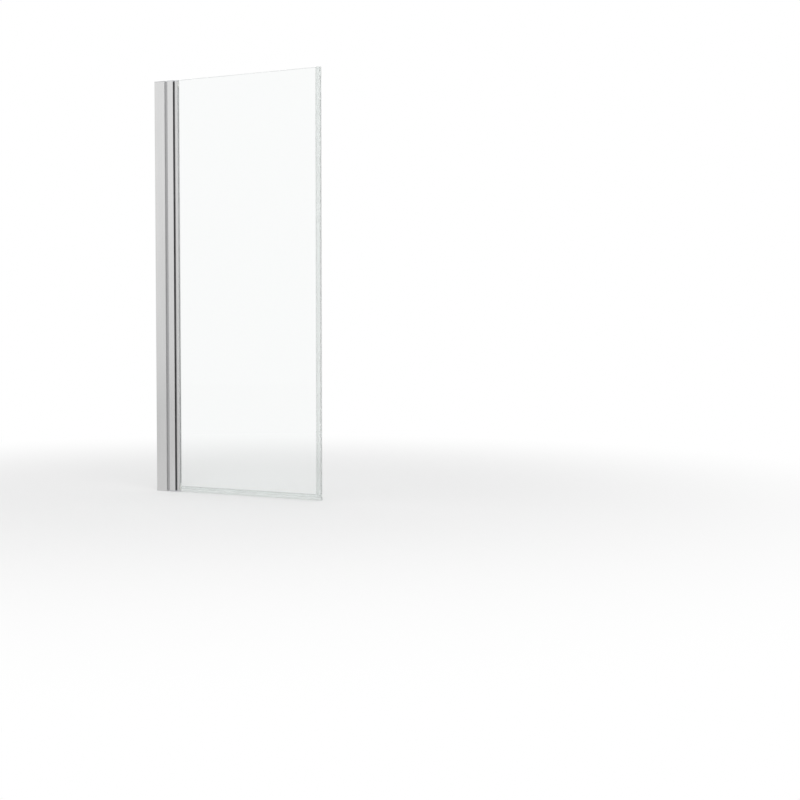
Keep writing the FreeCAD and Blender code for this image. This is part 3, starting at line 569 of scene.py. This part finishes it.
# Studio: a plain pale floor that fades into a white backdrop, one large soft lamp, and the camera
# where the photograph was taken from.
FLOOR_REACH = 9.0
FLOOR_DROP = 0.0003
FLOOR_CORNERS = 96
FADE_START = 0.7
FADE_END = 2.8
WHITE_SEEN = 0.2
WHITE_MIRRORED = 0.6
LIT_BY_BACKDROP = 0.78
MIRRORED_LOW = 0.74
MIRRORED_RISE = 0.3
SCREEN_MIDDLE = Vector((0.35, 0, 0.7))


def ways_of_seeing(start):
    """1 for rays from the camera or through glass, and 1 for those that a metal mirrors, else 0."""
    camera = start.node("ShaderNodeLightPath", output="Is Camera Ray")
    glossy = start.node("ShaderNodeLightPath", output="Is Glossy Ray")
    through = start.node("ShaderNodeLightPath", output="Is Transmission Ray")
    direct = camera + through > 0.5
    return direct, glossy * (1 - direct)


floor_mesh = bpy.data.meshes.new("floor")
rim = []
for corner in range(FLOOR_CORNERS):
    angle = corner * math.tau / FLOOR_CORNERS
    rim.append((FLOOR_REACH * math.cos(angle), FLOOR_REACH * math.sin(angle), 0))
floor_mesh.from_pydata(rim, [], [list(range(FLOOR_CORNERS))])
floor = bpy.data.objects.new("floor", floor_mesh)
floor.location = (SCREEN_MIDDLE.x, 0, -FLOOR_DROP)
bpy.context.scene.collection.objects.link(floor)

floor_material, start = new_material("pale_floor")
place = start.node("ShaderNodeTexCoord", output="Object")
distance = start.node("ShaderNodeVectorMath", {"operation": "LENGTH"}, {0: place}, output="Value")
speckle = start.grain((260, 260, 260), detail=2.0)
pale = speckle.tinted((0.89, 0.89, 0.89), (0.93, 0.93, 0.93))
matt = start.node("ShaderNodeBsdfDiffuse", None, {"Color": pale})
direct, mirrored = ways_of_seeing(start)
backdrop = mirrored.tinted((1, 1, 1), (0.7, 0.7, 0.7))
white = start.node("ShaderNodeEmission", None, {"Color": backdrop, "Strength": 1.0})
spread = distance.between(FADE_START, FADE_END)
seen = WHITE_SEEN + (1 - WHITE_SEEN) * spread
reflected = WHITE_MIRRORED + (1 - WHITE_MIRRORED) * spread
fade = seen * direct + reflected * mirrored
floor_shader = start.node("ShaderNodeMixShader", None, {0: fade, 1: matt, 2: white})
start.node("ShaderNodeOutputMaterial", None, {"Surface": floor_shader})
floor_mesh.materials.append(floor_material)

world = bpy.data.worlds.new("studio")
bpy.context.scene.world = world
world.use_nodes = True
world.node_tree.nodes.clear()
start = Wire(world.node_tree)
direct, mirrored = ways_of_seeing(start)
glow = MIRRORED_LOW + MIRRORED_RISE * start.part("Generated", "Z").between(-0.25, 0.3)
strength = LIT_BY_BACKDROP + (1 - LIT_BY_BACKDROP) * direct + mirrored * (glow - LIT_BY_BACKDROP)
sky = start.node("ShaderNodeBackground", None, {"Color": (1, 1, 1, 1), "Strength": strength})
start.node("ShaderNodeOutputWorld", None, {"Surface": sky})

lamp_data = bpy.data.lights.new("soft_lamp", "AREA")
lamp_data.shape = "SQUARE"
lamp_data.size = 3.0
lamp_data.energy = 45.0
lamp = bpy.data.objects.new("soft_lamp", lamp_data)
lamp.location = (2.3, -2.4, 3.9)
lamp.rotation_mode = "QUATERNION"
lamp.rotation_quaternion = (lamp.location - SCREEN_MIDDLE).to_track_quat("Z", "Y")
bpy.context.scene.collection.objects.link(lamp)

camera_data = bpy.data.cameras.new("camera")
camera_data.lens = 60.646
camera_data.sensor_width = 36.0
camera_data.shift_y = -0.03
camera_data.clip_end = 100.0
camera = bpy.data.objects.new("camera", camera_data)
camera.location = (2.9834, -4.0822, 0.6147)
camera.rotation_euler = (math.radians(90 - 2.203), 0, math.radians(25.996))
bpy.context.scene.collection.objects.link(camera)
bpy.context.scene.camera = camera
bpy.context.scene.view_settings.view_transform = "Standard"
